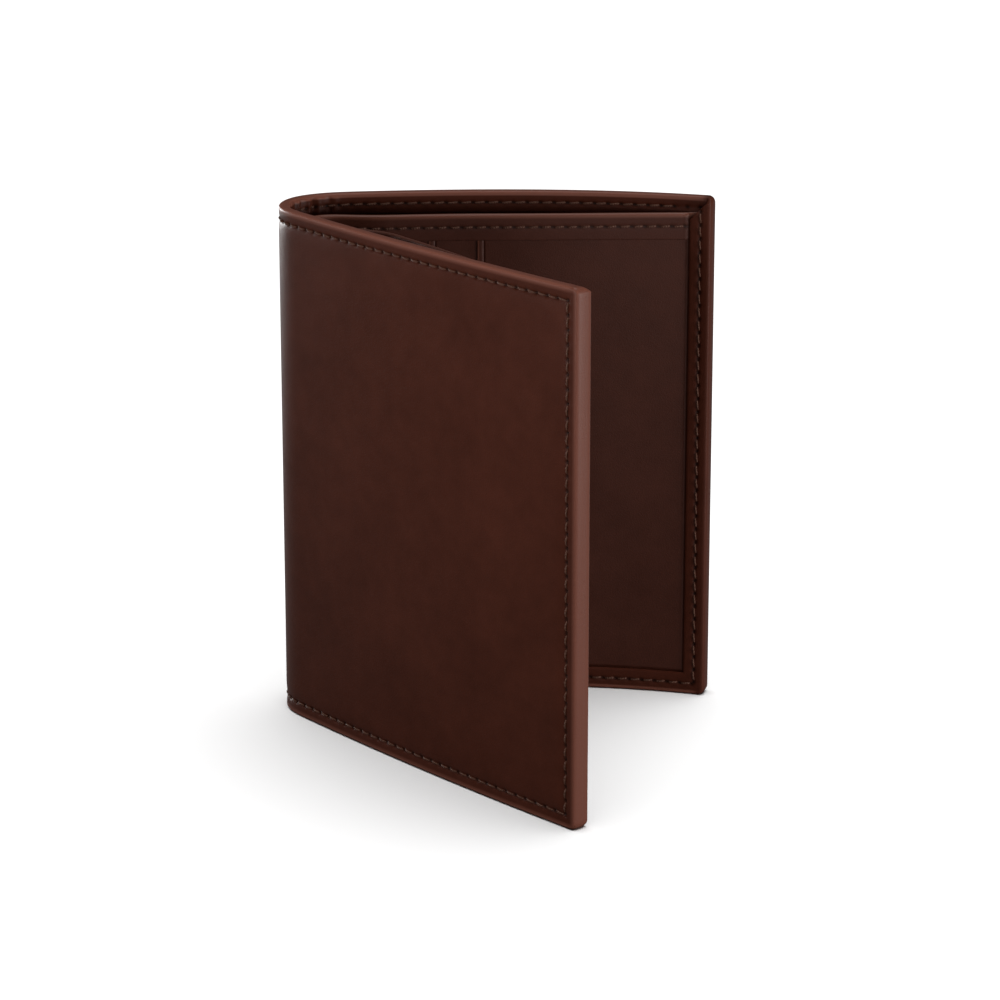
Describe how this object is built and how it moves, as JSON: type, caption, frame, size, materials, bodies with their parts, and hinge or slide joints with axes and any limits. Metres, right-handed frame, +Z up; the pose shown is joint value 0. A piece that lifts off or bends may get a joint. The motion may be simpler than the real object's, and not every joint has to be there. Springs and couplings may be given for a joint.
{
  "type": "bifold wallet",
  "caption": "Tall leather bifold wallet standing half open: stitched cover with turned edges, full-width note compartment behind a divider, and vertical card pockets on both leaves",
  "frame": {"origin": "centre of the bounding box at the bottom edge the wallet stands on", "axes": "+Z up along the fold lines; +X from the spine to the back leaf's free edge, along its chord; +Y from the opening towards the back of the back leaf"},
  "size_m": [0.096, 0.0958, 0.115],
  "materials": {
    "cover_leather": "smooth semi-gloss dark brown calf leather",
    "inner_leather": "smooth thin dark brown leather with creased edges",
    "lining_cloth": "fine dark brown woven lining",
    "stiffener_board": "pressed leather-fibre board, hidden between cover and lining",
    "seam_thread": "waxed brown sewing thread"
  },
  "bodies": {
    "back_leaf": {"back_cover": "cover_leather", "back_stiffener": "stiffener_board", "back_lining": "lining_cloth", "back_divider": "inner_leather", "back_pocket_backing": "lining_cloth", "back_card_pocket_1": "inner_leather", "back_card_pocket_2": "inner_leather", "back_card_pocket_3": "inner_leather", "back_outer_seam_thread": "seam_thread", "back_hem_seam_thread": "seam_thread", "back_top_seam_thread": "seam_thread", "back_divider_seam_thread": "seam_thread"},
    "spine": {"spine_cover": "cover_leather", "spine_lining": "lining_cloth", "spine_divider": "inner_leather", "spine_top_seam_thread": "seam_thread", "spine_bottom_seam_thread": "seam_thread"},
    "front_leaf": {"front_cover": "cover_leather", "front_stiffener": "stiffener_board", "front_lining": "lining_cloth", "front_divider": "inner_leather", "front_pocket_backing": "lining_cloth", "front_card_pocket_1": "inner_leather", "front_card_pocket_2": "inner_leather", "front_card_pocket_3": "inner_leather", "front_outer_seam_thread": "seam_thread", "front_hem_seam_thread": "seam_thread", "front_top_seam_thread": "seam_thread", "front_divider_seam_thread": "seam_thread"}
  },
  "joints": [
    {"name": "back_fold", "type": "hinge", "parent": "back_leaf", "child": "spine", "pos_m": [-0.0431, 0.04169, 0.0575], "axis": [0, 0, -1], "range_deg": [-22, 62]},
    {"name": "front_fold", "type": "hinge", "parent": "spine", "child": "front_leaf", "pos_m": [-0.04522, 0.03063, 0.0575], "axis": [0, 0, -1], "range_deg": [-22, 62]}
  ],
  "couplings": [
    {"joint": "front_fold", "follows": "back_fold", "ratio": 1}
  ]
}
